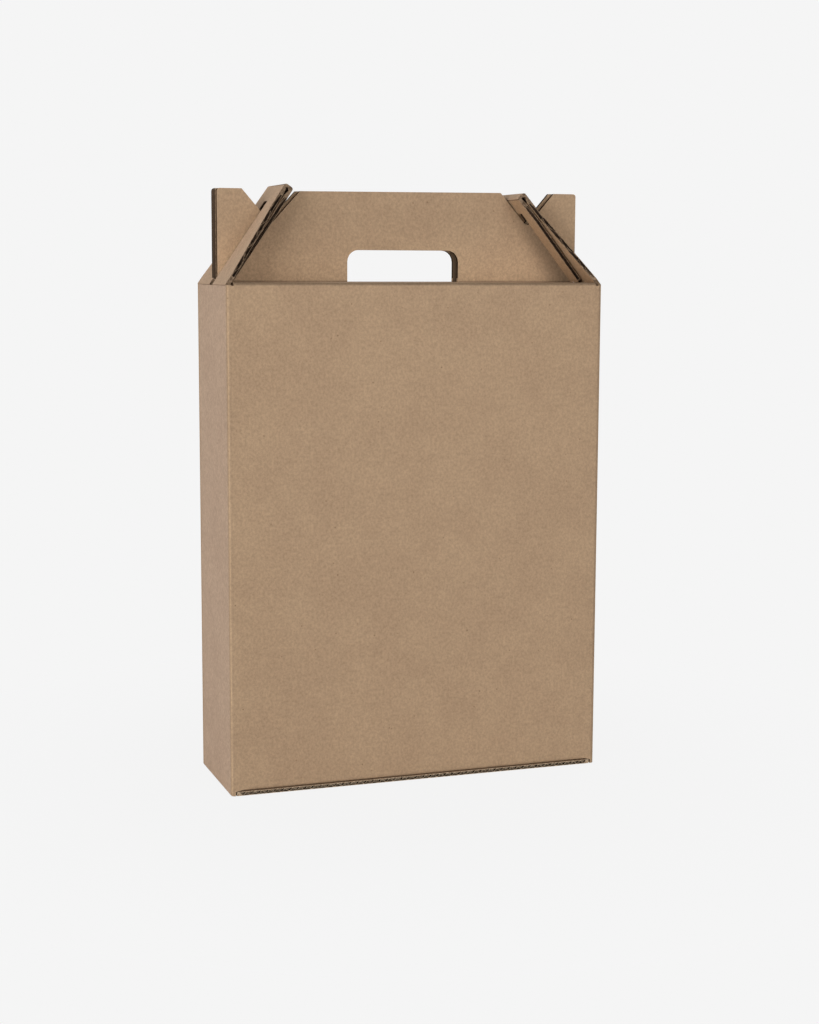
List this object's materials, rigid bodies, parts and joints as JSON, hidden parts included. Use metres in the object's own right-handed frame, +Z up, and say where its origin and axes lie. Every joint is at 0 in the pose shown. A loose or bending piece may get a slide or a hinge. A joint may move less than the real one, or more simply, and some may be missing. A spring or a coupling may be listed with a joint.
{
  "type": "wine carrier box",
  "caption": "Tall, narrow carrier folded from corrugated board, with a doubled handle panel, a hand hole, slotted locking side flaps and an inner divider for bottles.",
  "frame": {"origin": "on the ground under the middle of the box", "axes": "+Z up, +X along the width of the box, +Y from the front panel to the back panel"},
  "size_m": [0.2706, 0.088, 0.4118],
  "materials": {
    "kraft_board": "matt brown kraft liner",
    "divider_board": "matt brown kraft liner"
  },
  "bodies": {
    "carton": {"carton": "kraft_board", "bottle_divider": "divider_board"},
    "left_flap": {"left_locking_flap": "kraft_board"},
    "right_flap": {"right_locking_flap": "kraft_board"}
  },
  "joints": [
    {"name": "left_flap_crease", "type": "hinge", "parent": "carton", "child": "left_flap", "pos_m": [-0.1353, 0, 0.345], "axis": [0, -1, 0], "range_deg": [0, 213]},
    {"name": "right_flap_crease", "type": "hinge", "parent": "carton", "child": "right_flap", "pos_m": [0.1353, 0, 0.345], "axis": [0, 1, 0], "range_deg": [0, 218]}
  ]
}
